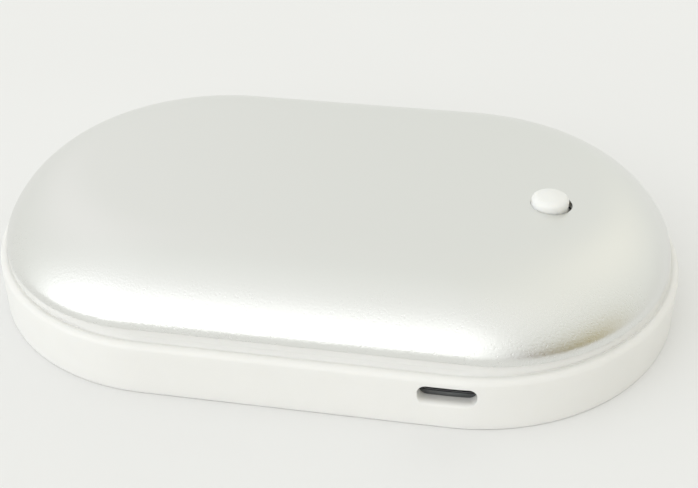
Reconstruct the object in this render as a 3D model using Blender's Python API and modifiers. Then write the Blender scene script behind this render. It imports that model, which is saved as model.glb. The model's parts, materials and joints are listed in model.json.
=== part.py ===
"""Rechargeable hand warmer: an oval aluminium shell over a white plastic frame.

Run with: blender --background --python part.py
Units are metres, +Z up. The origin is at the centre of the base, X runs along the
length, and the charging socket is in the long side at -Y.
"""

import math

import bmesh
import bpy
from mathutils import Vector

MM = 0.001

# ---------------------------------------------------------------- driving sizes, mm
LENGTH = 108.0
WIDTH = 71.2
END_RADIUS = 32.2           # half axis of the elliptical ends along X
HALF_WIDTH = WIDTH / 2
END_CENTRE = LENGTH / 2 - END_RADIUS

FRAME_BOTTOM = 0.25          # underside of the white frame
FRAME_FOOT = 0.5            # rounding of its lower edge
FRAME_BEAD = 0.95           # rounding of its shoulder
FRAME_SHOULDER = 8.35       # top of the outer band
LIP_INSET = 1.30            # foot of the narrower lip that carries the top cover
LIP_TOP = 9.56

COVER_TIP = 52.5            # the top cover's own oval at its lower edge: half length,
COVER_HALF = 33.95          # half width,
COVER_CENTRE = 24.0         # and where its elliptical ends start
COVER_BLEND = 0.87          # how fast its straight sides shorten towards the crown
COVER_EDGE_Z = 9.86         # lower edge of the top cover
COVER_SPRING = 10.0         # where its short upright skirt ends and the pillow starts
COVER_RISE = 8.87           # height of the rounding
COVER_ROLL = 0.45           # what the tight turn at the very edge adds to it
COVER_REACH = 14.0          # how far in the rounding runs
COVER_POWER, COVER_BULGE = 2.5, 0.78
CROWN_RISE = 0.5            # gentle crown of the top
COVER_WALL = 1.0

BUTTON_X, BUTTON_Y = 33.3, -5.3
BUTTON_RADIUS = 2.8
BUTTON_HOLE_RADIUS = 3.2
BUTTON_TOP = 21.0

PORT_X, PORT_Z = 21.5, 5.55
PORT_WIDTH, PORT_HEIGHT = 8.05, 2.7

BOARD_BOTTOM, BOARD_TOP = 7.1, 8.1
CHASSIS_BOTTOM, CHASSIS_TOP = 3.0, 4.0
SUPPORT_BOTTOM, SUPPORT_TOP = 14.0, 15.2

QUARTER_STEPS = 12
SUPPORT_SCREWS = ((-18.0, 23.9), (14.0, 23.9), (-18.0, -23.9), (14.0, -23.9))
BOARD_SCREWS = ((42.0, 10.0), (24.0, -14.0))
TOP_LEAD_HOLE = (30.0, -18.4)
BOTTOM_LEAD_HOLE = (30.0, 22.0)

# ---------------------------------------------------------------- a clean scene
for old in list(bpy.data.objects):
    bpy.data.objects.remove(old, do_unlink=True)

parts = bpy.data.collections.new("hand_warmer")
cutters = bpy.data.collections.new("cutters")
bpy.context.scene.collection.children.link(parts)
bpy.context.scene.collection.children.link(cutters)
cutters.hide_render = True

materials = {}


def material(name, colour, roughness, metallic=0.0, alpha=1.0):
    if name not in materials:
        made = bpy.data.materials.new(name)
        made.use_nodes = True
        shader = made.node_tree.nodes["Principled BSDF"]
        shader.inputs["Base Color"].default_value = (*colour, 1.0)
        shader.inputs["Roughness"].default_value = roughness
        shader.inputs["Metallic"].default_value = metallic
        shader.inputs["Alpha"].default_value = alpha
        made.diffuse_color = (*colour, 1.0)
        materials[name] = made
    return materials[name]


ALUMINIUM = ("aluminium_satin", (0.80, 0.80, 0.78), 0.35, 1.0)
WHITE = ("white_plastic", (0.86, 0.85, 0.82), 0.40)
BUTTON_WHITE = ("button_white", (0.88, 0.88, 0.85), 0.45)
INNER_GREY = ("inner_grey_plastic", (0.42, 0.43, 0.44), 0.6)
BOARD_GREEN = ("board_green", (0.02, 0.16, 0.07), 0.45)
STEEL = ("steel", (0.60, 0.60, 0.62), 0.3, 1.0)
BLACK = ("black_plastic", (0.02, 0.02, 0.022), 0.5)
FOIL = ("cell_foil", (0.62, 0.63, 0.66), 0.35, 1.0)
FOAM = ("foam_grey", (0.16, 0.16, 0.17), 0.95)
FILM = ("heater_film", (0.72, 0.36, 0.06), 0.35)
RED = ("wire_red", (0.60, 0.03, 0.02), 0.45)
WIRE_BLACK = ("wire_black", (0.02, 0.02, 0.02), 0.45)
WIRE_WHITE = ("wire_white", (0.80, 0.80, 0.78), 0.45)
FERRITE = ("ferrite", (0.09, 0.09, 0.10), 0.7)
EPOXY = ("epoxy", (0.05, 0.06, 0.09), 0.35)
LED = ("led_lens", (0.90, 0.88, 0.70), 0.2)
CAN = ("capacitor_can", (0.75, 0.75, 0.76), 0.3, 1.0)


# ---------------------------------------------------------------- helpers
def add(name, mesh, look, where=(0, 0, 0), smooth_angle=None):
    """An object for one sub-part."""
    obj = bpy.data.objects.new(name, mesh)
    parts.objects.link(obj)
    obj.location = Vector(where) * MM
    mesh.materials.append(material(*look))
    if smooth_angle is not None:
        mesh.shade_smooth()
        mesh.set_sharp_from_angle(angle=math.radians(smooth_angle))
    return obj


def add_cutter(name, mesh, where=(0, 0, 0)):
    obj = bpy.data.objects.new(name, mesh)
    cutters.objects.link(obj)
    obj.location = Vector(where) * MM
    obj.hide_render = True
    obj.display_type = "WIRE"
    return obj


def boolean(target, other, operation="DIFFERENCE"):
    step = target.modifiers.new(f"{operation.lower()}_{other.name}", "BOOLEAN")
    step.operation = operation
    step.solver = "EXACT"
    step.object = other
    return step


def box_mesh(name, size, bevel=0.0, segments=2, along=None):
    """A box centred on its origin, its edges rounded. along picks the edges parallel to one axis."""
    bm = bmesh.new()
    bmesh.ops.create_cube(bm, size=1.0)
    bmesh.ops.scale(bm, vec=Vector(size) * MM, verts=bm.verts)
    if bevel:
        edges = bm.edges[:]
        if along is not None:
            edges = [
                e for e in bm.edges
                if abs((e.verts[0].co - e.verts[1].co).normalized()[along]) > 0.9
            ]
        bmesh.ops.bevel(bm, geom=edges, offset=bevel * MM, segments=segments, profile=0.5,
                        affect="EDGES", clamp_overlap=True)
    mesh = bpy.data.meshes.new(name)
    bm.to_mesh(mesh)
    bm.free()
    return mesh


def rod_mesh(name, radius, z0, z1, sides=24):
    bm = bmesh.new()
    bmesh.ops.create_cone(bm, cap_ends=True, cap_tris=False, segments=sides,
                          radius1=radius * MM, radius2=radius * MM, depth=(z1 - z0) * MM)
    bmesh.ops.translate(bm, vec=(0, 0, (z0 + z1) / 2 * MM), verts=bm.verts)
    mesh = bpy.data.meshes.new(name)
    bm.to_mesh(mesh)
    bm.free()
    return mesh


def oval(centre, rx, ry, z, steps):
    """Straight sides between -centre and centre, and elliptical ends with half axes rx and ry."""
    points = []
    for quarter in range(4):
        side = 1 if quarter in (0, 3) else -1
        # the tips of the oval belong to two quarters, so one of them leaves its last point out
        for k in range(steps + (1 if quarter in (0, 2) else 0)):
            t = math.radians(90 * quarter + 90 * k / steps)
            points.append(Vector((side * centre + rx * math.cos(t), ry * math.sin(t), z)) * MM)
    return points


def outline(inset, z=0.0, steps=QUARTER_STEPS):
    """The oval of the frame, moved in by inset."""
    return oval(END_CENTRE, END_RADIUS - inset, HALF_WIDTH - inset, z, steps)


def cover_outline(depth, z=0.0, steps=QUARTER_STEPS):
    """The oval of the top cover, depth in from its edge. Its sides grow shorter inwards, like a pillow's."""
    tip = COVER_TIP - depth
    centre = min(COVER_CENTRE * (1 - COVER_BLEND * depth / COVER_HALF), tip - 0.5)
    return oval(centre, tip - centre, COVER_HALF - depth, z, steps)


def swept_rings(name, rings, closed, cap_last=False, steps=QUARTER_STEPS):
    """Extrudes the oval from ring to ring. rings holds (inset, z), or (depth, z, cover_outline) for the top
    cover's oval; closed joins the last ring to the first."""
    bm = bmesh.new()
    rings = [(inset, z, family[0] if family else outline) for inset, z, *family in rings]
    start = [bm.verts.new(p) for p in rings[0][2](rings[0][0], rings[0][1], steps)]
    edges = [bm.edges.new((start[i], start[(i + 1) % len(start)])) for i in range(len(start))]
    first_edges, row = edges[:], start
    for inset, z, ring_of in rings[1:]:
        grown = bmesh.ops.extrude_edge_only(bm, edges=edges)["geom"]
        fresh = {v for v in grown if isinstance(v, bmesh.types.BMVert)}
        edges = [
            e for e in grown
            if isinstance(e, bmesh.types.BMEdge) and e.verts[0] in fresh and e.verts[1] in fresh
        ]
        onward = {}
        for v in row:
            for e in v.link_edges:
                if e.other_vert(v) in fresh:
                    onward[v] = e.other_vert(v)
        row = [onward[v] for v in row]
        for v, point in zip(row, ring_of(inset, z, steps)):
            v.co = point
    if closed:
        bmesh.ops.bridge_loops(bm, edges=edges + first_edges)
    if cap_last:
        bm.faces.new(row)
    bmesh.ops.recalc_face_normals(bm, faces=bm.faces[:])
    mesh = bpy.data.meshes.new(name)
    bm.to_mesh(mesh)
    bm.free()
    return mesh


def cover_height(depth):
    """Height of the top cover's outer face, depth mm in from its edge."""
    u = min(depth / COVER_REACH, 1.0)
    rise = COVER_RISE * (1 - (1 - u) ** COVER_POWER) ** COVER_BULGE
    roll = COVER_ROLL * (1 - (1 - min(depth / 0.3, 1)) ** 3) * (1 - min(depth / 6, 1)) ** 2
    return COVER_SPRING + rise + roll + CROWN_RISE * (1 - (1 - depth / COVER_HALF) ** 2)


def shell(name, rings, thickness, look, smooth_angle=40, steps=QUARTER_STEPS):
    """An open pressed surface with a wall of the given thickness on its inner side."""
    mesh = swept_rings(name, rings, closed=False, cap_last=True, steps=steps)
    obj = add(name, mesh, look, smooth_angle=smooth_angle)
    wall = obj.modifiers.new("wall", "SOLIDIFY")
    wall.thickness = thickness * MM
    wall.offset = -1.0
    wall.use_even_offset = True
    wall.use_rim = True
    return obj


def plate_mesh(name, points, z0, z1):
    """A flat plate from an outline: a filled 2D curve, extruded, then made a mesh with its caps welded."""
    curve = bpy.data.curves.new(name + "_curve", "CURVE")
    curve.dimensions = "2D"
    curve.fill_mode = "BOTH"
    curve.extrude = (z1 - z0) / 2 * MM
    spline = curve.splines.new("POLY")
    spline.points.add(len(points) - 1)
    for slot, (x, y) in zip(spline.points, points):
        slot.co = (x, y, 0.0, 1.0)
    spline.use_cyclic_u = True
    guide = bpy.data.objects.new(name + "_guide", curve)
    cutters.objects.link(guide)
    bpy.context.view_layer.update()
    graph = bpy.context.evaluated_depsgraph_get()
    mesh = bpy.data.meshes.new_from_object(guide.evaluated_get(graph))
    bpy.data.objects.remove(guide, do_unlink=True)
    bm = bmesh.new()
    bm.from_mesh(mesh)
    bmesh.ops.remove_doubles(bm, verts=bm.verts, dist=1e-6)
    bmesh.ops.translate(bm, vec=(0, 0, (z0 + z1) / 2 * MM), verts=bm.verts)
    bmesh.ops.recalc_face_normals(bm, faces=bm.faces[:])
    bm.to_mesh(mesh)
    bm.free()
    mesh.name = name
    return mesh


def oval_plate_points(inset, steps=QUARTER_STEPS, x_from=None):
    points = []
    for p in outline(inset, 0.0, steps):
        if x_from is None or p.x >= x_from * MM:
            if not points or (Vector((p.x, p.y)) - Vector(points[-1])).length > 1e-6:
                points.append((p.x, p.y))
    if x_from is not None:
        ry = (HALF_WIDTH - inset) * MM
        ordered = sorted(points, key=lambda q: math.atan2(q[1], q[0] - END_CENTRE * MM))
        points = [(x_from * MM, -ry)] + ordered + [(x_from * MM, ry)]
    return points


def turned(name, profile, look, where, steps=24, smooth_angle=35):
    """A turned piece: the profile runs from the axis at the top, down the outer side, to the axis below."""
    mesh = bpy.data.meshes.new(name)
    mesh.from_pydata([(r * MM, 0.0, z * MM) for r, z in profile],
                     [(i, i + 1) for i in range(len(profile) - 1)], [])
    obj = add(name, mesh, look, where)
    screw = obj.modifiers.new("turn", "SCREW")
    screw.axis = "Z"
    screw.angle = math.tau
    screw.steps = steps
    screw.render_steps = steps
    screw.use_merge_vertices = True
    screw.merge_threshold = 0.00001
    screw.use_smooth_shade = True
    return obj


def wire(name, radius, points, look, samples=3):
    """An insulated lead along a smooth curve through its route's points, in mm."""
    route = []
    ends = [points[0]] + list(points) + [points[-1]]
    for i in range(len(points) - 1):
        p0, p1, p2, p3 = (Vector(ends[i + k]) for k in range(4))
        for k in range(samples):
            t = k / samples
            route.append(0.5 * ((2 * p1) + (p2 - p0) * t + (2 * p0 - 5 * p1 + 4 * p2 - p3) * t * t
                                + (3 * p1 - p0 - 3 * p2 + p3) * t ** 3))
    route.append(Vector(points[-1]))
    curve = bpy.data.curves.new(name, "CURVE")
    curve.dimensions = "3D"
    curve.bevel_depth = radius * MM
    curve.bevel_resolution = 2
    curve.use_fill_caps = True
    curve.resolution_u = 1
    spline = curve.splines.new("POLY")
    spline.points.add(len(route) - 1)
    for slot, p in zip(spline.points, route):
        slot.co = (*(p * MM), 1.0)
    curve.materials.append(material(*look))
    obj = bpy.data.objects.new(name, curve)
    parts.objects.link(obj)
    return obj


# ---------------------------------------------------------------- the casing
cover_rings = [(0.0, COVER_EDGE_Z, cover_outline)]
for depth in (0.0, 0.1, 0.3, 0.6, 1.2, 2.4, 4.0, 6.0, 8.4, 11.2, 14.5, 19.0, 25.0):
    cover_rings.append((depth, cover_height(depth), cover_outline))
top_cover = shell("top_cover", cover_rings, COVER_WALL, ALUMINIUM)
button_hole = add_cutter("cut_button_hole",
                         rod_mesh("cut_button_hole", BUTTON_HOLE_RADIUS, 15.0, 24.0, sides=40),
                         (BUTTON_X, BUTTON_Y, 0))
boolean(top_cover, button_hole)


def bead(radius, centre_z, start, stop, steps):
    """Points of a rounded outer edge of the frame, in (inset, z)."""
    return [
        (radius * (1 - math.cos(math.radians(start + (stop - start) * k / steps))),
         centre_z + radius * math.sin(math.radians(start + (stop - start) * k / steps)))
        for k in range(steps + 1)
    ]


frame_section = (
    bead(FRAME_FOOT, FRAME_BOTTOM + FRAME_FOOT, -90, 0, 2)
    + bead(FRAME_BEAD, FRAME_SHOULDER - FRAME_BEAD, 0, 90, 4)
    + [(1.06, 8.27), (1.20, 8.26), (LIP_INSET, 8.42)]
    + [(0.0, LIP_TOP - 0.14, cover_outline), (0.14, LIP_TOP, cover_outline)]
    + [(3.7, LIP_TOP), (3.7, 10.9), (4.6, 10.9), (4.6, 8.8), (1.8, 8.2)]
    + [(1.8, 2.7), (4.3, 2.7), (4.3, 1.9), (1.45, 1.9), (1.45, FRAME_BOTTOM)]
)
middle_frame = add("middle_frame", swept_rings("middle_frame", frame_section, closed=True),
                   WHITE, smooth_angle=32)
port_cut = add_cutter(
    "cut_port",
    box_mesh("cut_port", (PORT_WIDTH, 8.0, PORT_HEIGHT), bevel=1.25, segments=5, along=1),
    (PORT_X, -HALF_WIDTH, PORT_Z))
boolean(middle_frame, port_cut)

bottom_rings = [(1.80, 1.55), (1.80, 1.05), (2.5, 0.38), (4.0, 0.07), (6.5, 0.0), (16.0, 0.0)]
bottom_cover = shell("bottom_cover", bottom_rings, COVER_WALL, ALUMINIUM)

# ---------------------------------------------------------------- chassis and supports
chassis = add("inner_chassis",
              plate_mesh("inner_chassis", oval_plate_points(2.8, 9), CHASSIS_BOTTOM, CHASSIS_TOP),
              INNER_GREY)
corral = add_cutter("add_cell_wall", box_mesh("add_cell_wall", (58.3, 43.6, 4.6)), (-10.15, 0, 5.8))
corral_inside = add_cutter("cut_cell_space", box_mesh("cut_cell_space", (56.3, 41.6, 8.0)),
                           (-10.15, 0, 8.0))
boolean(chassis, corral, "UNION")
boolean(chassis, corral_inside)
for number, (x, y) in enumerate(SUPPORT_SCREWS, 1):
    boss = add_cutter(f"add_boss_{number}", rod_mesh(f"add_boss_{number}", 1.75, 3.5, 13.7, 16), (x, y, 0))
    boolean(chassis, boss, "UNION")
    pilot = add_cutter(f"cut_boss_{number}", rod_mesh(f"cut_boss_{number}", 1.1, 8.0, 15.0, 16), (x, y, 0))
    boolean(chassis, pilot)
for number, (x, y) in enumerate(BOARD_SCREWS, 1):
    post = add_cutter(f"add_post_{number}", rod_mesh(f"add_post_{number}", 2.2, 3.5, 6.8, 16), (x, y, 0))
    boolean(chassis, post, "UNION")
    pilot = add_cutter(f"cut_post_{number}", rod_mesh(f"cut_post_{number}", 1.1, 4.4, 8.0, 16), (x, y, 0))
    boolean(chassis, pilot)
lead_pass = add_cutter("cut_chassis_leads", rod_mesh("cut_chassis_leads", 2.4, 2.0, 6.0, 20),
                       (*BOTTOM_LEAD_HOLE, 0))
boolean(chassis, lead_pass)

support = add("upper_support_plate",
              plate_mesh("upper_support_plate", oval_plate_points(10.0, 9), SUPPORT_BOTTOM, SUPPORT_TOP),
              INNER_GREY)
for number, (x, y, radius) in enumerate(
        [(x, y, 1.1) for x, y in SUPPORT_SCREWS]
        + [(BUTTON_X, BUTTON_Y, 1.95), (*TOP_LEAD_HOLE, 2.2)], 1):
    hole = add_cutter(f"cut_support_{number}",
                      rod_mesh(f"cut_support_{number}", radius, 13.0, 16.5, 20), (x, y, 0))
    boolean(support, hole)

# ---------------------------------------------------------------- button and switch
button_axis = bpy.data.objects.new("button_axis", None)
button_axis.location = Vector((BUTTON_X, BUTTON_Y, 0)) * MM
parts.objects.link(button_axis)

dome = []
for k in range(7):
    t = math.radians(90 * k / 6)
    dome.append((BUTTON_RADIUS * math.sin(t), BUTTON_TOP - 1.05 * (1 - math.cos(t))))
cap_profile = dome + [
    (BUTTON_RADIUS, 17.3), (4.2, 17.3), (4.2, 16.5), (1.6, 16.5), (1.6, 13.8), (0.0, 13.8),
]
cap_profile[0] = (0.0, BUTTON_TOP)
button_cap = turned("button_cap", cap_profile, BUTTON_WHITE, (0, 0, 0), steps=28)
button_cap.parent = button_axis
plunger = turned("switch_plunger",
                 [(0.0, 13.5), (1.5, 13.5), (1.7, 13.3), (1.7, 10.9), (0.0, 10.9)],
                 BLACK, (0, 0, 0), steps=20)
plunger.parent = button_axis

switch_body = add("switch_body", box_mesh("switch_body", (6.0, 6.0, 3.5), bevel=0.25, segments=1),
                  BLACK, (BUTTON_X, BUTTON_Y, 10.15))
plunger_bore = add_cutter("cut_switch", rod_mesh("cut_switch", 2.0, 10.0, 12.5, 20),
                          (BUTTON_X, BUTTON_Y, 0))
boolean(switch_body, plunger_bore)

# ---------------------------------------------------------------- circuit board and what it carries
board = add("circuit_board",
            plate_mesh("circuit_board", oval_plate_points(4.8, 9, x_from=20.2), BOARD_BOTTOM, BOARD_TOP),
            BOARD_GREEN)
for number, (x, y, radius) in enumerate(
        [(x, y, 1.1) for x, y in BOARD_SCREWS] + [(*BOTTOM_LEAD_HOLE, 2.2)], 1):
    hole = add_cutter(f"cut_board_{number}",
                      rod_mesh(f"cut_board_{number}", radius, 6.5, 9.0, 20), (x, y, 0))
    boolean(board, hole)

socket_y = -HALF_WIDTH + 2.5 + 2.75
socket = add("usb_socket_shell",
             box_mesh("usb_socket_shell", (7.5, 5.5, 2.5), bevel=0.7, segments=3, along=1),
             STEEL, (PORT_X, socket_y, PORT_Z))
socket_inside = add_cutter("cut_socket",
                           box_mesh("cut_socket", (6.9, 10.0, 1.9), bevel=0.5, segments=3, along=1),
                           (PORT_X, socket_y - 2.85, PORT_Z))
boolean(socket, socket_inside)
add("usb_socket_tongue", box_mesh("usb_socket_tongue", (5.0, 3.6, 0.7), bevel=0.12, segments=1),
    BLACK, (PORT_X, socket_y + 0.05, PORT_Z + 0.2))

add("charge_controller_chip", box_mesh("charge_controller_chip", (5.0, 5.0, 0.9), bevel=0.12, segments=1),
    EPOXY, (38.0, 3.0, 8.85))
add("heater_driver_chip", box_mesh("heater_driver_chip", (4.0, 5.0, 1.4), bevel=0.15, segments=1),
    EPOXY, (30.0, -13.0, 9.1))
add("power_inductor", box_mesh("power_inductor", (6.0, 6.0, 3.0), bevel=0.9, segments=3, along=2),
    FERRITE, (28.0, 4.0, 9.9))
add("input_capacitor", box_mesh("input_capacitor", (3.2, 1.6, 1.6), bevel=0.15, segments=1),
    FERRITE, (36.0, -16.0, 9.2))
turned("output_capacitor",
       [(0.0, 13.4), (1.8, 13.4), (2.0, 13.2), (2.0, 9.0), (1.85, 8.85), (2.0, 8.7), (2.0, 8.4), (0.0, 8.4)],
       CAN, (41.5, -8.0, 0), steps=20)
add("indicator_led", box_mesh("indicator_led", (0.8, 1.6, 0.7), bevel=0.1, segments=1),
    LED, (37.9, -2.6, 8.75))

# ---------------------------------------------------------------- power and heat
add("battery_cell", box_mesh("battery_cell", (53.5, 41.0, 8.2), bevel=1.2, segments=3),
    FOIL, (-11.25, 0, 8.4), smooth_angle=40)
add("protection_board", box_mesh("protection_board", (1.0, 28.0, 6.0)), BOARD_GREEN, (16.7, 0, 8.5))
add("battery_foam_pad", box_mesh("battery_foam_pad", (48.0, 36.0, 0.9), bevel=3.0, segments=3, along=2),
    FOAM, (-11.0, 0, 13.25))
add("bottom_insulation_pad",
    box_mesh("bottom_insulation_pad", (54.0, 40.0, 0.8), bevel=4.0, segments=3, along=2),
    FOAM, (-10.0, 0, 2.3))
add("bottom_heating_film",
    plate_mesh("bottom_heating_film", oval_plate_points(9.0, 8), 1.3, 1.6), FILM)

film_rings = [(depth, cover_height(depth) - COVER_WALL - 0.35, cover_outline) for depth in (10.0, 14.0, 19.0, 26.0)]
top_film = shell("top_heating_film", film_rings, 0.3, FILM, steps=8)
film_hole = add_cutter("cut_film", rod_mesh("cut_film", 5.0, 15.8, 20.0, 28), (BUTTON_X, BUTTON_Y, 0))
boolean(top_film, film_hole)

bead_mesh = bpy.data.meshes.new("temperature_sensor")
bm = bmesh.new()
bmesh.ops.create_uvsphere(bm, u_segments=14, v_segments=8, radius=1.0 * MM)
bmesh.ops.scale(bm, vec=(1.5, 0.9, 0.6), verts=bm.verts)
bm.to_mesh(bead_mesh)
bm.free()
add("temperature_sensor", bead_mesh, EPOXY, (20.0, -12.0, 16.7), smooth_angle=60)

wire("sensor_lead", 0.35,
     [(21.9, -12.2, 16.7), (25.0, -14.0, 16.6), (28.6, -16.6, 16.1), (30.0, -17.4, 14.9),
      (30.0, -17.4, 12.0), (30.0, -17.4, 8.45)], WIRE_WHITE)
for side, x in (("a", 29.2), ("b", 30.8)):
    wire(f"top_heater_lead_{side}", 0.5,
         [(x, -18.9, 16.65), (x, -18.9, 14.0), (x, -19.2, 11.2), (x, -18.9, 8.45)], WIRE_WHITE)
    wire(f"bottom_heater_lead_{side}", 0.5,
         [(x, 22.0, 1.95), (x, 22.0, 5.0), (x, 22.0, 8.6), (x, 21.2, 9.35), (x, 19.5, 9.05), (x, 17.5, 8.95)],
         WIRE_WHITE)
for tag, y, look in (("positive", 4.0, RED), ("negative", -4.0, WIRE_BLACK)):
    wire(f"battery_lead_{tag}", 0.6,
         [(17.55, y, 10.2), (18.8, y, 10.25), (20.6, y, 9.7), (22.2, y, 9.1), (24.2, y, 9.05)], look)

# ---------------------------------------------------------------- screws
for number, (x, y) in enumerate(SUPPORT_SCREWS, 1):
    turned(f"support_screw_{number}",
           [(0.0, 16.1), (0.35, 16.1), (0.9, 16.35), (1.45, 16.15), (1.6, 15.8), (1.6, 15.5),
            (0.8, 15.5), (0.8, 9.6), (0.25, 8.8), (0.0, 8.8)],
           STEEL, (x, y, 0), steps=14)
for number, (x, y) in enumerate(BOARD_SCREWS, 1):
    turned(f"board_screw_{number}",
           [(0.0, 9.1), (0.35, 9.1), (0.9, 9.35), (1.45, 9.15), (1.6, 8.8), (1.6, 8.4),
            (0.8, 8.4), (0.8, 5.6), (0.25, 4.9), (0.0, 4.9)],
           STEEL, (x, y, 0), steps=14)

bpy.context.view_layer.update()
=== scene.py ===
"""Looks of the rechargeable hand warmer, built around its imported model.

Lengths in this file are millimetres where a name or a comment says so, and metres elsewhere.
"""

import json
import math

import bmesh
import bpy
import numpy as np
from mathutils import Matrix, Vector


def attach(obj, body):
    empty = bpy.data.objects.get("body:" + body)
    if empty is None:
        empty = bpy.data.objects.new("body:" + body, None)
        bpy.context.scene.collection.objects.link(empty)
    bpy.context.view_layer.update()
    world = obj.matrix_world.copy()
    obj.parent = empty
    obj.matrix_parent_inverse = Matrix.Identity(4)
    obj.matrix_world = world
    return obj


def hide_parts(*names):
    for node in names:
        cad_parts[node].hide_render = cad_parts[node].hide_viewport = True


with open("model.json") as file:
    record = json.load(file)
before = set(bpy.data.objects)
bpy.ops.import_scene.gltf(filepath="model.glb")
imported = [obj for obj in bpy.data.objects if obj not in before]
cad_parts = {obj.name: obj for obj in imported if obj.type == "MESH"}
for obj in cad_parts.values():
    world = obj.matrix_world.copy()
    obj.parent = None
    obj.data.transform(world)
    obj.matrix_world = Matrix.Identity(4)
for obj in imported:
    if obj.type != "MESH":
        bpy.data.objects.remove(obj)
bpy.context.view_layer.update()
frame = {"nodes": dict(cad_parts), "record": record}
MM = 0.001

# ---------------------------------------------------------------- sizes shared with the part, mm
LENGTH, WIDTH, END_RADIUS = 108.0, 71.2, 32.2
HALF_WIDTH = WIDTH / 2
END_CENTRE = LENGTH / 2 - END_RADIUS
FRAME_BOTTOM, FRAME_FOOT, FRAME_BEAD, FRAME_SHOULDER = 0.25, 0.5, 0.95, 8.35
LIP_INSET, LIP_TOP = 1.30, 9.56
COVER_TIP, COVER_HALF, COVER_CENTRE, COVER_BLEND = 52.5, 33.95, 24.0, 0.87
COVER_EDGE_Z, COVER_SPRING, COVER_RISE, COVER_REACH = 9.86, 10.0, 8.87, 14.0
COVER_POWER, COVER_BULGE, COVER_ROLL, CROWN_RISE, COVER_WALL = 2.5, 0.78, 0.45, 0.5, 1.0
BUTTON_X, BUTTON_Y, BUTTON_RADIUS, BUTTON_TOP = 33.3, -5.3, 2.77, 21.0
HOLE_X, HOLE_RADIUS = 33.50, 3.09
PORT_X, PORT_Z, PORT_WIDTH, PORT_HEIGHT = 21.5, 5.55, 8.05, 2.7
PORT_WALL = 1.8             # thickness of the frame's wall round the slot

ARC_STEPS = 44              # points along each quarter of the oval's ends
SIDE_STEPS = 40             # points along each straight side


# ---------------------------------------------------------------- node helpers
def socket(node, name, value):
    node.inputs[name].default_value = value


class Look:
    """A material being put together from nodes."""

    def __init__(self, name):
        self.material = bpy.data.materials.new(name)
        self.material.use_nodes = True
        self.tree = self.material.node_tree
        self.shader = self.tree.nodes["Principled BSDF"]
        self.coords = self.add("ShaderNodeTexCoord").outputs["Object"]

    def add(self, kind, **settings):
        node = self.tree.nodes.new(kind)
        for key, value in settings.items():
            setattr(node, key, value)
        return node

    def link(self, source, node, name):
        self.tree.links.new(source, node.inputs[name])

    def set(self, **values):
        for key, value in values.items():
            self.shader.inputs[key.replace("_", " ")].default_value = value
        return self

    def noise(self, size_mm, detail=2.0, rough=0.5, stretch=(1, 1, 1), kind="FBM"):
        """A noise whose blobs are about size_mm across."""
        mapping = self.add("ShaderNodeMapping")
        socket(mapping, "Scale", stretch)
        self.link(self.coords, mapping, "Vector")
        node = self.add("ShaderNodeTexNoise", noise_type=kind)
        self.link(mapping.outputs["Vector"], node, "Vector")
        socket(node, "Scale", 1.0 / (size_mm * MM))
        socket(node, "Detail", detail)
        socket(node, "Roughness", rough)
        return node.outputs["Fac"]

    def cells(self, size_mm, feature="F1"):
        node = self.add("ShaderNodeTexVoronoi", feature=feature)
        self.link(self.coords, node, "Vector")
        socket(node, "Scale", 1.0 / (size_mm * MM))
        return node.outputs["Distance"]

    def ramp(self, source, low, high, to_low=0.0, to_high=1.0, smooth=False):
        node = self.add("ShaderNodeMapRange", interpolation_type="SMOOTHSTEP" if smooth else "LINEAR")
        self.link(source, node, "Value")
        for key, value in (("From Min", low), ("From Max", high), ("To Min", to_low), ("To Max", to_high)):
            socket(node, key, value)
        return node.outputs["Result"]

    def mix(self, factor, first, second):
        node = self.add("ShaderNodeMix", data_type="RGBA")
        for index, value in ((0, factor), (6, first), (7, second)):
            if isinstance(value, bpy.types.NodeSocket):
                self.tree.links.new(value, node.inputs[index])
            elif index == 0:
                node.inputs[0].default_value = value
            else:
                node.inputs[index].default_value = (*value, 1.0)
        return node.outputs[2]

    def maths(self, operation, first, second=0.0):
        node = self.add("ShaderNodeMath", operation=operation)
        for index, value in ((0, first), (1, second)):
            if isinstance(value, bpy.types.NodeSocket):
                self.tree.links.new(value, node.inputs[index])
            else:
                node.inputs[index].default_value = value
        return node.outputs[0]

    def axis(self, name):
        node = self.add("ShaderNodeSeparateXYZ")
        self.link(self.coords, node, "Vector")
        return node.outputs[name]

    def colour(self, source):
        self.tree.links.new(source, self.shader.inputs["Base Color"])
        return self

    def roughness(self, source):
        self.tree.links.new(source, self.shader.inputs["Roughness"])
        return self

    def bump(self, *layers):
        """Each layer is (height source, depth in mm, strength), the first the lowest."""
        below = None
        for height, depth_mm, strength in layers:
            node = self.add("ShaderNodeBump")
            self.link(height, node, "Height")
            socket(node, "Distance", depth_mm * MM)
            socket(node, "Strength", strength)
            if below is not None:
                self.link(below, node, "Normal")
            below = node.outputs["Normal"]
        self.tree.links.new(below, self.shader.inputs["Normal"])
        return self


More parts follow.
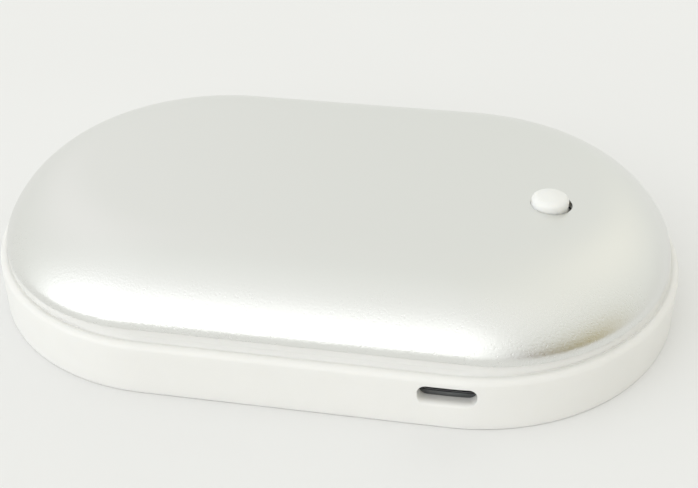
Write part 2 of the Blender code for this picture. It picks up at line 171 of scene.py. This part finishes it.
# ---------------------------------------------------------------- materials
def satin_aluminium():
    """Bead blasted and anodised: a fine sparkle over a very even tone."""
    look = Look("aluminium_satin").set(Metallic=1.0, IOR=1.45)
    grain = look.noise(0.34, detail=1.5, rough=0.6)
    fine = look.noise(0.16, detail=1.0, rough=0.5)
    cloud = look.noise(9.0, detail=2.0, rough=0.5)
    bend = look.ramp(look.axis("Z"), 0.0150, 0.0190, 1.0, 0.03)         # coarser where the sheet is bent
    drawn = look.maths("MULTIPLY", bend, look.ramp(look.axis("Y"), -0.0230, -0.0130, 1.0, 0.25))    # most on the near side
    sparkle = look.maths("MULTIPLY", look.ramp(fine, 0.25, 0.75), drawn)
    look.colour(look.mix(sparkle, (0.792, 0.797, 0.778), (0.812, 0.816, 0.797)))
    spread = look.maths("MULTIPLY", look.ramp(grain, 0.3, 0.7, -0.02, 0.02), drawn)
    spread = look.maths("ADD", spread, look.ramp(cloud, 0.3, 0.7, 0.282, 0.298))
    look.roughness(spread)
    look.bump((look.maths("MULTIPLY", grain, drawn), 0.052, 0.6), (look.maths("MULTIPLY", fine, drawn), 0.026, 0.6))
    return look.material


def moulded(name, dark, light, low, high, grain_mm, depth_mm, strength=0.5, specular=0.5, **values):
    """Moulded plastic: a slight unevenness of tone and a fine surface grain."""
    look = Look(name).set(**{"Specular_IOR_Level": specular, **values})
    cloud = look.noise(6.0, detail=3.0, rough=0.55)
    look.colour(look.mix(look.ramp(cloud, 0.3, 0.7), dark, light))
    grain = look.noise(grain_mm, detail=3.0, rough=0.6)
    look.roughness(look.ramp(grain, 0.3, 0.7, low, high))
    look.bump((grain, depth_mm, strength))
    return look.material


def board():
    """Solder mask over copper: faint tracks and pads under the green."""
    look = Look("board_green").set(Specular_IOR_Level=0.5, Coat_Weight=0.35, Coat_Roughness=0.12)
    tracks = look.add("ShaderNodeTexBrick", offset=0.5)
    look.link(look.coords, tracks, "Vector")
    for key, value in (("Scale", 330.0), ("Mortar Size", 0.10), ("Mortar Smooth", 0.25),
                       ("Brick Width", 1.9), ("Row Height", 0.42)):
        socket(tracks, key, value)
    copper = look.maths("SUBTRACT", 1.0, tracks.outputs["Fac"])
    cloud = look.noise(5.0, detail=3.0)
    base = look.mix(look.ramp(cloud, 0.3, 0.7), (0.010, 0.105, 0.040), (0.016, 0.150, 0.060))
    look.colour(look.mix(look.maths("MULTIPLY", copper, 0.45), base, (0.045, 0.30, 0.11)))
    look.roughness(look.ramp(look.noise(0.8), 0.3, 0.7, 0.30, 0.42))
    look.bump((copper, 0.03, 0.6), (look.noise(0.6), 0.01, 0.4))
    return look.material


def bare_metal(name, dark, light, low, high, grain_mm, stretch=(1, 1, 1), depth_mm=0.01):
    """Plated or drawn metal, with the marks of its working along one direction."""
    look = Look(name).set(Metallic=1.0)
    marks = look.noise(grain_mm, detail=3.0, rough=0.6, stretch=stretch)
    cloud = look.noise(2.5, detail=2.0)
    look.colour(look.mix(look.ramp(cloud, 0.3, 0.7), dark, light))
    look.roughness(look.ramp(marks, 0.3, 0.7, low, high))
    look.bump((marks, depth_mm, 0.5))
    return look.material


def pouch():
    """Laminated foil round a cell, slightly crinkled."""
    look = Look("cell_foil").set(Metallic=1.0)
    creases = look.noise(5.0, detail=4.0, rough=0.62, stretch=(1, 1.4, 1))
    fine = look.noise(0.5, detail=2.0)
    look.colour(look.mix(look.ramp(creases, 0.3, 0.7), (0.56, 0.57, 0.60), (0.66, 0.67, 0.70)))
    look.roughness(look.ramp(fine, 0.3, 0.7, 0.30, 0.42))
    look.bump((creases, 0.35, 0.5), (fine, 0.02, 0.4))
    return look.material


def foam():
    """Closed cell foam: small round cells on a matt surface."""
    look = Look("foam_grey").set(Specular_IOR_Level=0.2, Sheen_Weight=0.15)
    cells = look.cells(0.7)
    look.colour(look.mix(look.ramp(cells, 0.0, 0.7), (0.10, 0.10, 0.11), (0.20, 0.20, 0.21)))
    look.roughness(look.ramp(look.noise(1.5), 0.3, 0.7, 0.88, 0.97))
    look.bump((cells, 0.25, 0.8))
    return look.material


def film():
    """Amber film with a meander of etched track under it."""
    look = Look("heater_film").set(Specular_IOR_Level=0.5, Coat_Weight=0.4, Coat_Roughness=0.15)
    rows = look.add("ShaderNodeTexWave", wave_type="BANDS", bands_direction="Y", wave_profile="SIN")
    look.link(look.coords, rows, "Vector")
    socket(rows, "Scale", 95.0)
    socket(rows, "Distortion", 0.0)
    track = look.ramp(rows.outputs["Fac"], 0.42, 0.55, smooth=True)
    base = look.mix(look.ramp(look.noise(6.0, detail=3.0), 0.3, 0.7), (0.60, 0.27, 0.035), (0.74, 0.36, 0.06))
    look.colour(look.mix(track, base, (0.36, 0.20, 0.09)))
    look.roughness(look.ramp(track, 0.0, 1.0, 0.26, 0.38))
    look.bump((track, 0.04, 0.6), (look.noise(1.2), 0.02, 0.4))
    return look.material


LOOKS = {
    "aluminium_satin": satin_aluminium(),
    "white_plastic": moulded("white_plastic", (0.824, 0.820, 0.796), (0.836, 0.832, 0.808), 0.30, 0.36, 0.35,
                             0.004, 0.4, specular=0.45, Subsurface_Weight=0.35, Subsurface_Scale=0.0014,
                             Subsurface_Radius=(1.0, 0.97, 0.90)),
    "button_white": moulded("button_white", (0.822, 0.824, 0.804), (0.834, 0.836, 0.816), 0.42, 0.50, 0.22,
                            0.004, 0.4, specular=0.35, Subsurface_Weight=0.6, Subsurface_Scale=0.0015,
                            Subsurface_Radius=(1.0, 0.97, 0.90)),
    "inner_grey_plastic": moulded("inner_grey_plastic", (0.36, 0.37, 0.38), (0.44, 0.45, 0.46), 0.48, 0.64,
                                  0.30, 0.02, 0.5),
    "board_green": board(),
    "steel": bare_metal("steel", (0.50, 0.50, 0.52), (0.62, 0.62, 0.64), 0.24, 0.40, 0.25, (1, 5, 1)),
    "black_plastic": moulded("black_plastic", (0.014, 0.014, 0.015), (0.024, 0.024, 0.026), 0.42, 0.56,
                             0.25, 0.012, 0.5),
    "cell_foil": pouch(),
    "foam_grey": foam(),
    "heater_film": film(),
    "wire_red": moulded("wire_red", (0.50, 0.022, 0.015), (0.62, 0.032, 0.022), 0.34, 0.48, 0.30, 0.008),
    "wire_black": moulded("wire_black", (0.014, 0.014, 0.015), (0.026, 0.026, 0.028), 0.34, 0.48, 0.30, 0.008),
    "wire_white": moulded("wire_white", (0.72, 0.72, 0.70), (0.80, 0.80, 0.78), 0.34, 0.48, 0.30, 0.008),
    "ferrite": moulded("ferrite", (0.06, 0.06, 0.068), (0.11, 0.11, 0.12), 0.60, 0.80, 0.20, 0.03, 0.6),
    "epoxy": moulded("epoxy", (0.035, 0.038, 0.048), (0.055, 0.058, 0.072), 0.30, 0.46, 0.18, 0.012, 0.5),
    "led_lens": moulded("led_lens", (0.84, 0.82, 0.62), (0.92, 0.90, 0.74), 0.12, 0.22, 0.25, 0.006, 0.4,
                        Transmission_Weight=0.35),
    "capacitor_can": bare_metal("capacitor_can", (0.66, 0.66, 0.68), (0.76, 0.76, 0.77), 0.22, 0.34,
                                0.22, (6, 6, 1)),
}
LOOKS["gold_contact"] = bare_metal("gold_contact", (0.72, 0.50, 0.18), (0.82, 0.60, 0.26), 0.22, 0.34, 0.12, (1, 4, 1))

# painted shade: a dark copy of the steel, standing in for the shade inside the charging slot
LOOKS["steel_painted_shade"] = bare_metal("steel_painted_shade", (0.13, 0.13, 0.135), (0.18, 0.18, 0.185), 0.38, 0.52, 0.25, (1, 5, 1))

for entry in frame["record"]["subparts"]:
    node = frame["nodes"][entry["node"]]
    node.data.materials.clear()
    node.data.materials.append(LOOKS[entry["material_slot"]])


# ---------------------------------------------------------------- shape helpers
def oval(centre, rx, ry):
    """Straight sides and elliptical ends, as an (n, 2) array in mm, starting at the middle of the +X end."""
    quarter = np.linspace(0, math.pi / 2, ARC_STEPS + 1)
    side = np.linspace(centre, -centre, SIDE_STEPS + 1)[1:-1]
    points = []
    points += [(centre + rx * math.cos(t), ry * math.sin(t)) for t in quarter]
    points += [(x, ry) for x in side]
    points += [(-centre - rx * math.sin(t), ry * math.cos(t)) for t in quarter]
    points += [(-centre - rx * math.cos(t), -ry * math.sin(t)) for t in quarter[1:]]
    points += [(-x, -ry) for x in side]
    points += [(centre + rx * math.sin(t), -ry * math.cos(t)) for t in quarter[:-1]]
    return np.array(points)


def outline(inset):
    """The frame's oval, moved in by inset."""
    return oval(END_CENTRE, END_RADIUS - inset, HALF_WIDTH - inset)


def cover_axes(depth):
    """Centre and half axes of the top cover's oval, depth in from its edge."""
    tip = COVER_TIP - depth
    centre = min(COVER_CENTRE * (1 - COVER_BLEND * depth / COVER_HALF), tip - 0.5)
    return centre, tip - centre, COVER_HALF - depth


def cover_outline(depth):
    return oval(*cover_axes(depth))


def cover_height(depth):
    depth = np.asarray(depth, float)
    u = np.clip(depth / COVER_REACH, 0, 1)
    rise = COVER_RISE * (1 - (1 - u) ** COVER_POWER) ** COVER_BULGE
    roll = COVER_ROLL * (1 - (1 - np.clip(depth / 0.3, 0, 1)) ** 3) * (1 - np.clip(depth / 6, 0, 1)) ** 2
    return COVER_SPRING + rise + roll + CROWN_RISE * (1 - (1 - depth / COVER_HALF) ** 2)


def depth_at(x, y):
    """How far in from the cover's edge a point lies, in mm: the depth whose oval passes through it."""
    x, y = abs(x), abs(y)
    low, high = 0.0, COVER_HALF - 1e-6
    for _ in range(46):
        depth = (low + high) / 2
        centre, rx, ry = cover_axes(depth)
        outside = y > ry if x <= centre else ((x - centre) / rx) ** 2 + (y / ry) ** 2 > 1
        if outside:
            high = depth
        else:
            low = depth
    return (low + high) / 2


def cover_z(x, y):
    return float(cover_height(depth_at(x, y)))


def cover_normal(x, y, step=0.15):
    dx = (cover_z(x + step, y) - cover_z(x - step, y)) / (2 * step)
    dy = (cover_z(x, y + step) - cover_z(x, y - step)) / (2 * step)
    return Vector((-dx, -dy, 1.0)).normalized()


def mesh_object(name, bm):
    mesh = bpy.data.meshes.new(name)
    bm.to_mesh(mesh)
    bm.free()
    obj = bpy.data.objects.new(name, mesh)
    bpy.context.scene.collection.objects.link(obj)
    return obj


def sweep(name, rings, closed, cap_first=False, cap_last=False):
    """Rings of an oval, each (inset, z) or (depth, z, cover_outline) in mm, joined one to the next."""
    bm = bmesh.new()
    rows = []
    for inset, z, *family in rings:
        points = (family[0] if family else outline)(inset)
        rows.append([bm.verts.new((x * MM, y * MM, z * MM)) for x, y in points])
    count = len(rows[0])
    pairs = list(zip(rows, rows[1:])) + ([(rows[-1], rows[0])] if closed else [])
    for low, high in pairs:
        for i in range(count):
            j = (i + 1) % count
            bm.faces.new((low[i], low[j], high[j], high[i]))
    for wanted, row in ((cap_first, rows[0]), (cap_last, rows[-1])):
        if wanted:
            bm.faces.new(row)
    bmesh.ops.recalc_face_normals(bm, faces=bm.faces[:])
    return mesh_object(name, bm)


def turn(name, profile, where, steps=96):
    """A turned piece from an (r, z) profile in mm that starts and ends on the axis."""
    bm = bmesh.new()
    rows = []
    for r, z in profile:
        if r < 1e-9:
            rows.append([bm.verts.new((0, 0, z * MM))])
        else:
            rows.append([bm.verts.new((r * math.cos(math.tau * k / steps) * MM,
                                       r * math.sin(math.tau * k / steps) * MM, z * MM)) for k in range(steps)])
    for low, high in zip(rows, rows[1:]):
        for k in range(steps):
            n = (k + 1) % steps
            corners = [low[k % len(low)], low[n % len(low)], high[n % len(high)], high[k % len(high)]]
            corners = [v for i, v in enumerate(corners) if v not in corners[:i]]
            bm.faces.new(corners)
    bmesh.ops.recalc_face_normals(bm, faces=bm.faces[:])
    bmesh.ops.translate(bm, vec=Vector(where) * MM, verts=bm.verts)
    return mesh_object(name, bm)


def rounded_box(name, size, bevel, segments, along=None, where=(0, 0, 0)):
    bm = bmesh.new()
    bmesh.ops.create_cube(bm, size=1.0)
    bmesh.ops.scale(bm, vec=Vector(size) * MM, verts=bm.verts)
    edges = [e for e in bm.edges
             if along is None or abs((e.verts[0].co - e.verts[1].co).normalized()[along]) > 0.9]
    bmesh.ops.bevel(bm, geom=edges, offset=bevel * MM, segments=segments, profile=0.5, affect="EDGES",
                    clamp_overlap=True)
    bmesh.ops.translate(bm, vec=Vector(where) * MM, verts=bm.verts)
    return mesh_object(name, bm)


def settle(obj):
    """Turns the object's modifiers into its mesh."""
    bpy.context.view_layer.update()
    graph = bpy.context.evaluated_depsgraph_get()
    mesh = bpy.data.meshes.new_from_object(obj.evaluated_get(graph))
    old = obj.data
    obj.modifiers.clear()
    obj.data = mesh
    bpy.data.meshes.remove(old)
    mesh.name = obj.name
    return obj


def cut(obj, cutter, operation="DIFFERENCE"):
    step = obj.modifiers.new("cut", "BOOLEAN")
    step.operation, step.solver, step.object = operation, "EXACT", cutter
    settle(obj)
    bpy.data.objects.remove(cutter, do_unlink=True)
    return obj


def soften_edges(obj, chosen, width_mm, segments=3):
    """Rounds the edges for which chosen(first point, second point, edge) holds, points in mm."""
    bm = bmesh.new()
    bm.from_mesh(obj.data)
    edges = [e for e in bm.edges if chosen(e.verts[0].co / MM, e.verts[1].co / MM, e)]
    bmesh.ops.bevel(bm, geom=edges, offset=width_mm * MM, segments=segments, profile=0.5, affect="EDGES",
                    clamp_overlap=True)
    bm.to_mesh(obj.data)
    bm.free()
    return len(edges)


def smooth(obj, angle=30, true_normal=None):
    """Smooth shading. true_normal(point in mm, face) gives the exact normal where the surface has a formula."""
    mesh = obj.data
    mesh.shade_smooth()
    mesh.set_sharp_from_angle(angle=math.radians(angle))
    if true_normal is None:
        return obj
    normals = [Vector(n.vector) for n in mesh.corner_normals]
    for face in mesh.polygons:
        for loop in face.loop_indices:
            point = mesh.vertices[mesh.loops[loop].vertex_index].co / MM
            exact = true_normal(point, face)
            if exact is not None:
                normals[loop] = exact
    mesh.normals_split_custom_set(normals)
    return obj


def arc(centre, radius, start, stop, steps, rz=None):
    """(inset, z) points on an arc; angles in degrees from the inward direction towards +Z."""
    rz = radius if rz is None else rz
    return [(centre[0] + radius * math.cos(math.radians(start + (stop - start) * k / steps)),
             centre[1] + rz * math.sin(math.radians(start + (stop - start) * k / steps)))
            for k in range(steps + 1)]


def show(obj, node, body, slot, look=None):
    obj.data.materials.clear()
    obj.data.materials.append(LOOKS[look or slot])
    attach(obj, body)
    if node:
        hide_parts(node)
    return obj


# ---------------------------------------------------------------- top cover
outer = [(d, z, cover_outline) for d, z in arc((0.14, COVER_EDGE_Z + 0.14), 0.14, 270, 180, 4)]
outer += [(float(d), float(cover_height(d)), cover_outline)
          for d in np.concatenate([COVER_REACH * np.linspace(0, 1, 56)[1:] ** 1.8, np.linspace(14.6, 31.5, 24)])]
inner = [(d, float(cover_height(d)) - COVER_WALL, cover_outline) for d in (31.0, 24.0, 18.0, 14.0)]
for depth in (10.5, 8.0, 6.0, 4.2, 2.8, 1.8, 1.0, 0.5, 0.2):
    slope = float(cover_height(depth + 0.05) - cover_height(depth - 0.05)) / 0.1
    length = math.hypot(slope, 1)
    inner.append((depth + COVER_WALL * slope / length, float(cover_height(depth)) - COVER_WALL / length, cover_outline))
inner += [(1.0, COVER_SPRING, cover_outline), (1.0, COVER_EDGE_Z + 0.12, cover_outline),
          (0.88, COVER_EDGE_Z, cover_outline)]


def shell_mesh(name, outside, inside):
    """A closed sheet: the outside rings from the edge to the middle, the inside ones back to the edge."""
    bm = bmesh.new()
    rows = [[bm.verts.new((x * MM, y * MM, z * MM)) for x, y in (family[0] if family else outline)(inset)]
            for inset, z, *family in outside + inside]
    count, middle = len(rows[0]), len(outside)
    for k, (low, high) in enumerate(zip(rows, rows[1:] + rows[:1])):
        if k + 1 == middle:
            bm.faces.new(low)
            bm.faces.new(high)
            continue
        for i in range(count):
            j = (i + 1) % count
            bm.faces.new((low[i], low[j], high[j], high[i]))
    bmesh.ops.recalc_face_normals(bm, faces=bm.faces[:])
    return mesh_object(name, bm)


cover = shell_mesh("cover_shell", outer, inner)
hole = turn("hole_cutter", [(0, 15.0), (HOLE_RADIUS, 15.0), (HOLE_RADIUS, 24.0), (0, 24.0)],
            (HOLE_X, BUTTON_Y, 0), steps=96)
cut(cover, hole)


def on_hole_rim(first, second, edge):
    return all(
        abs(math.hypot(p.x - HOLE_X, p.y - BUTTON_Y) - HOLE_RADIUS) < 0.02 and p.z > cover_z(p.x, p.y) - 0.25
        for p in (first, second)
    )


rim_edges = soften_edges(cover, on_hole_rim, 0.08, 3)


def cover_true_normal(point, face):
    if point.z < 17.0 or face.normal.z < 0.9:
        return None
    painted_shade_ramp = math.hypot(point.x - HOLE_X, point.y - BUTTON_Y)
    if painted_shade_ramp < HOLE_RADIUS + 0.10 or point.z < cover_z(point.x, point.y) - 0.3:
        return None
    if painted_shade_ramp > 12.0:
        return None
    return cover_normal(point.x, point.y)


smooth(cover, 32, cover_true_normal)
show(cover, "top_cover", "casing", "aluminium_satin")

# ---------------------------------------------------------------- middle frame
bead, foot = FRAME_BEAD, 0.45 * FRAME_FOOT
FOOT_Z = 0.04               # the moulded foot all but rests on the table
section = arc((foot, FOOT_Z + foot), foot, 270, 180, 8)
section += [(0.0, z) for z in np.linspace(FOOT_Z + foot, FRAME_SHOULDER - bead, 9)[1:-1]]
section += arc((bead, FRAME_SHOULDER - bead), bead, 180, 90, 12)
section += [(1.02, 8.335), (1.09, 8.30), (1.16, 8.28), (1.24, 8.29), (1.30, 8.335), (1.345, 8.40)]
section += [(0.16, 8.80, cover_outline), (0.26, 9.30, cover_outline), (0.34, 9.80, cover_outline)]
section += [(0.60, 9.84, cover_outline), (3.7, 9.84), (3.7, 10.9), (4.6, 10.9), (4.6, 8.8), (PORT_WALL, 8.2)]
section += [(PORT_WALL, z) for z in (7.0, 5.5, 4.0)]
section += [(PORT_WALL, 2.7), (4.3, 2.7), (4.3, 1.9), (1.45, 1.9), (1.45, FOOT_Z)]
band = sweep("frame_band", section, closed=True)


def slot_tool():
    """What the slot is cut with: a round-ended slot whose lower lip opens outwards in a soft curve."""
    corner, wide, high = 1.25, PORT_WIDTH / 2, PORT_HEIGHT / 2
    ring = []
    for start, cx, cz in ((0, wide - corner, high - corner), (90, corner - wide, high - corner),
                          (180, corner - wide, corner - high), (270, wide - corner, corner - high)):
        for k in range(13):
            t = math.radians(start + 90 * k / 12)
            ring.append((cx + corner * math.cos(t), cz + corner * math.sin(t)))
    bm = bmesh.new()
    rows = []
    depths = [-3.0, 0.0] + [0.9 * (1 - math.cos(math.radians(90 * k / 9))) for k in range(1, 10)] + [6.0]
    for depth in depths:
        open_by = 1 - math.sqrt(max(0.0, 1 - (1 - min(max(depth, 0.0), 0.9) / 0.9) ** 2))
        row = []
        for x, z in ring:
            down = 0.62 * open_by * min(1.0, max(0.0, -z / high + 0.15))
            side = 0.10 * open_by * (x / wide)
            row.append(bm.verts.new(((PORT_X + x + side) * MM, (-HALF_WIDTH + depth) * MM, (PORT_Z + z - down) * MM)))
        rows.append(row)
    count = len(ring)
    for low, high_row in zip(rows, rows[1:]):
        for i in range(count):
            j = (i + 1) % count
            bm.faces.new((low[i], low[j], high_row[j], high_row[i]))
    bm.faces.new(rows[0])
    bm.faces.new(rows[-1])
    bmesh.ops.recalc_face_normals(bm, faces=bm.faces[:])
    return mesh_object("slot_cutter", bm)


cut(band, slot_tool())


def side_inset(x, y):
    """How far a point lies inside the outer wall, in mm, near the wall."""
    ax, ay = abs(x), abs(y)
    if ax <= END_CENTRE:
        return HALF_WIDTH - ay
    return (1 - math.hypot((ax - END_CENTRE) / END_RADIUS, ay / HALF_WIDTH)) * END_RADIUS


def on_slot_rim(first, second, edge):
    for p in (first, second):
        if abs(p.x - PORT_X) > PORT_WIDTH / 2 + 0.3 or abs(p.z - PORT_Z) > PORT_HEIGHT / 2 + 0.8 or p.y > 0:
            return False
        if abs(side_inset(p.x, p.y)) > 0.02:
            return False
    angle = edge.calc_face_angle(0.0) if len(edge.link_faces) == 2 else 0.0
    return angle > 0.6


slot_edges = soften_edges(band, on_slot_rim, 0.14, 3)


def band_true_normal(point, face):
    if not FOOT_Z + foot - 0.01 < point.z < FRAME_SHOULDER - bead + 0.01:
        return None
    if abs(face.normal.z) > 0.05 or abs(point.x - PORT_X) > 12 or point.y > 0:
        return None
    if abs(side_inset(point.x, point.y)) > 0.012:
        return None
    centre = face.center / MM
    if abs(side_inset(centre.x, centre.y)) > 0.03:
        return None
    if point.x <= END_CENTRE:
        return Vector((0, -1, 0))
    return Vector(((point.x - END_CENTRE) / END_RADIUS ** 2, point.y / HALF_WIDTH ** 2, 0)).normalized()


smooth(band, 34, band_true_normal)
show(band, "middle_frame", "casing", "white_plastic")

# ---------------------------------------------------------------- bottom cover
under = [(1.80, 1.50)] + [(1.80, 1.15)]
under += arc((3.0, 1.15), 1.2, 180, 245, 8, 0.85)[1:]
under += [(3.1, 0.22), (3.9, 0.10), (4.8, 0.03), (6.5, 0.0), (16.0, 0.0), (24.0, 0.0)]
over = [(24.0, 1.0), (16.0, 1.0), (6.5, 1.0), (4.8, 1.03), (3.9, 1.12), (3.0, 1.36), (2.80, 1.50)]
base = shell_mesh("base_shell", under, over)
smooth(base, 32)
show(base, "bottom_cover", "casing", "aluminium_satin")

# ---------------------------------------------------------------- push button
CAP_SHIFT = (-0.05, -0.15, 0)     # the cap rests a little to the left and front in its hole
top = BUTTON_TOP
crown, edge_r, edge_h = 0.22, 1.05, 0.85
profile = [(0.0, top)]
for k in range(1, 11):
    r = (BUTTON_RADIUS - edge_r) * k / 10
    profile.append((r, top - crown * (r / (BUTTON_RADIUS - edge_r)) ** 2))
for k in range(1, 13):
    t = math.radians(90 * k / 12)
    profile.append((BUTTON_RADIUS - edge_r + edge_r * math.sin(t), top - crown - edge_h * (1 - math.cos(t))))
profile += [(BUTTON_RADIUS, 19.2), (BUTTON_RADIUS, 18.6), (BUTTON_RADIUS, 17.42), (BUTTON_RADIUS + 0.12, 17.3), (4.1, 17.3),
            (4.2, 17.2), (4.2, 16.6), (4.1, 16.5), (1.7, 16.5), (1.6, 16.4), (1.6, 13.9), (1.5, 13.8), (0.0, 13.8)]
button = turn("button_dome", profile, (BUTTON_X + CAP_SHIFT[0], BUTTON_Y + CAP_SHIFT[1], 0), steps=96)
smooth(button, 35)
show(button, "button_cap", "push_button", "button_white")

# ---------------------------------------------------------------- charging socket
socket_y = -HALF_WIDTH + 2.5 + 2.75
shell = rounded_box("socket_shell", (7.5, 5.5, 2.5), 0.7, 8, along=1, where=(PORT_X, socket_y, PORT_Z))
inside = rounded_box("socket_cutter", (6.9, 10.0, 1.9), 0.5, 6, along=1, where=(PORT_X, socket_y - 2.85, PORT_Z))
cut(shell, inside)
front = socket_y - 2.75
soften_edges(shell, lambda a, b, e: a.y < front + 0.01 and b.y < front + 0.01, 0.08, 2)
smooth(shell, 35)
# the socket's shell takes the steel with painted shade
show(shell, "usb_socket_shell", "casing", "steel", "steel_painted_shade")

tongue = rounded_box("socket_tongue", (5.0, 3.6, 0.7), 0.12, 3, where=(PORT_X, socket_y + 0.05, PORT_Z + 0.2))
smooth(tongue, 35)
show(tongue, "usb_socket_tongue", "casing", "black_plastic")
for k in range(5):
    contact = rounded_box(f"socket_contact_{k + 1}", (0.36, 2.6, 0.10), 0.03, 2,
                          where=(PORT_X + 0.65 * (k - 2), socket_y - 0.3, PORT_Z - 0.17))
    smooth(contact, 35)
    show(contact, None, "casing", "steel", "gold_contact")

# ---------------------------------------------------------------- floor, light and camera
bm = bmesh.new()
bmesh.ops.create_grid(bm, x_segments=2, y_segments=2, size=3.0)
floor = mesh_object("floor", bm)
paper = Look("floor_paper").set(Specular_IOR_Level=0.0)
pale = paper.mix(paper.ramp(paper.noise(60.0, detail=2.0), 0.3, 0.7), (0.832, 0.832, 0.830), (0.838, 0.838, 0.836))
# painted shade: the floor's colour darkens towards the right front, standing in for light falling off there and dimming
# its reflection in the rim
rightward = paper.maths("MULTIPLY", paper.axis("X"), 0.82)
forward = paper.maths("MULTIPLY", paper.axis("Y"), -0.57)
painted_shade_ramp = paper.ramp(paper.maths("ADD", rightward, forward), 0.045, 0.240, smooth=True)
paper.colour(paper.mix(painted_shade_ramp, pale, (0.70, 0.69, 0.668)))      # painted shade: the sheet's colour darkens softly towards the right front
paper.roughness(paper.ramp(paper.noise(2.0), 0.3, 0.7, 0.88, 0.96))
paper.bump((paper.noise(0.5), 0.01, 0.2))
floor.data.materials.append(paper.material)

world = bpy.data.worlds.new("studio")
bpy.context.scene.world = world
world.use_nodes = True
sky = world.node_tree
background = sky.nodes["Background"]
where = sky.nodes.new("ShaderNodeTexCoord").outputs["Generated"]


def sky_maths(kind, operation, first, second):
    node = sky.nodes.new(kind)
    node.operation = operation
    for name, value in ((0, first), (1, second)):
        if value is None:
            continue
        if isinstance(value, bpy.types.NodeSocket):
            sky.links.new(value, node.inputs[name])
        else:
            node.inputs[name].default_value = value
    return node


def glow(elevation, azimuth, sharpness, colour):
    """A soft round light: brightest at its direction, falling off as exp(sharpness * (cos - 1))."""
    up_angle, round_angle = math.radians(elevation), math.radians(azimuth)
    direction = (math.cos(up_angle) * math.cos(round_angle), math.cos(up_angle) * math.sin(round_angle), math.sin(up_angle))
    dot = sky_maths("ShaderNodeVectorMath", "DOT_PRODUCT", heading, direction).outputs["Value"]
    short = sky_maths("ShaderNodeMath", "SUBTRACT", dot, 1.0).outputs[0]
    steep = sky_maths("ShaderNodeMath", "MULTIPLY", short, sharpness).outputs[0]
    fall = sky_maths("ShaderNodeMath", "EXPONENT", steep, None).outputs[0]
    node = sky_maths("ShaderNodeVectorMath", "SCALE", colour, None)
    sky.links.new(fall, node.inputs["Scale"])
    return node.outputs["Vector"]


heading = sky_maths("ShaderNodeVectorMath", "NORMALIZE", where, None).outputs["Vector"]
total = None
for elevation, azimuth, sharpness, colour in (
    (10.0, 252.0, 12.0, (0.86, 0.87, 0.88)),
    (10.0, 216.0, 12.0, (1.00, 1.02, 1.06)),
    (35.0, 225.0, 12.0, (0.32, 0.31, 0.35)),
    (35.0, 275.0, 30.0, (0.48, 0.48, 0.50)),
    (35.0, 135.0, 12.0, (0.14, 0.12, 0.14)),
    (35.0, 45.0, 12.0, (0.17, 0.15, 0.11)),
    (60.0, 0.0, 12.0, (0.08, 0.07, 0.05)),
    (60.0, 180.0, 12.0, (0.11, 0.11, 0.12)),
    (60.0, 300.0, 12.0, (0.12, 0.11, 0.12)),
    (8.0, 335.0, 30.0, (-0.24, -0.26, -0.32)),
    (8.0, 350.0, 30.0, (-0.30, -0.38, -0.52)),
    (8.0, 320.0, 30.0, (-0.44, -0.50, -0.58)),
    (8.0, 305.0, 30.0, (-0.22, -0.24, -0.18)),
):
    light = glow(elevation, azimuth, sharpness, colour)
    total = light if total is None else sky_maths("ShaderNodeVectorMath", "ADD", total, light).outputs["Vector"]
total = sky_maths("ShaderNodeVectorMath", "ADD", total, (0.858, 0.870, 0.832)).outputs["Vector"]
sky.links.new(total, background.inputs["Color"])

FOCAL, DISTANCE = 1128.9, 172.953
AZIMUTH, ELEVATION, ROLL = math.radians(9.597), math.radians(32.345), math.radians(0.144)
back = Vector((math.sin(AZIMUTH) * math.cos(ELEVATION), -math.cos(AZIMUTH) * math.cos(ELEVATION), math.sin(ELEVATION)))
right = Vector((math.cos(AZIMUTH), math.sin(AZIMUTH), 0))
up = back.cross(right)
across = math.cos(ROLL) * right + math.sin(ROLL) * up
upward = -math.sin(ROLL) * right + math.cos(ROLL) * up
eye = (1.08 * (DISTANCE * back + 1.916 * across + 3.5 * upward) + Vector((0, 0, 0.8))) * MM
lens = bpy.data.cameras.new("camera")
lens.sensor_width = 36.0
lens.sensor_fit = "HORIZONTAL"
lens.lens = FOCAL / 698 * 36.0
lens.clip_start, lens.clip_end = 0.005, 20.0
camera = bpy.data.objects.new("camera", lens)
camera.matrix_world = Matrix((
    (across.x, upward.x, back.x, eye.x),
    (across.y, upward.y, back.y, eye.y),
    (across.z, upward.z, back.z, eye.z),
    (0, 0, 0, 1),
))
bpy.context.scene.collection.objects.link(camera)
bpy.context.scene.camera = camera

view = bpy.context.scene.view_settings
view.view_transform = "Standard"
view.look = "None"
view.exposure = 0.0
view.gamma = 1.0

print("rim edges", rim_edges, "slot edges", slot_edges)
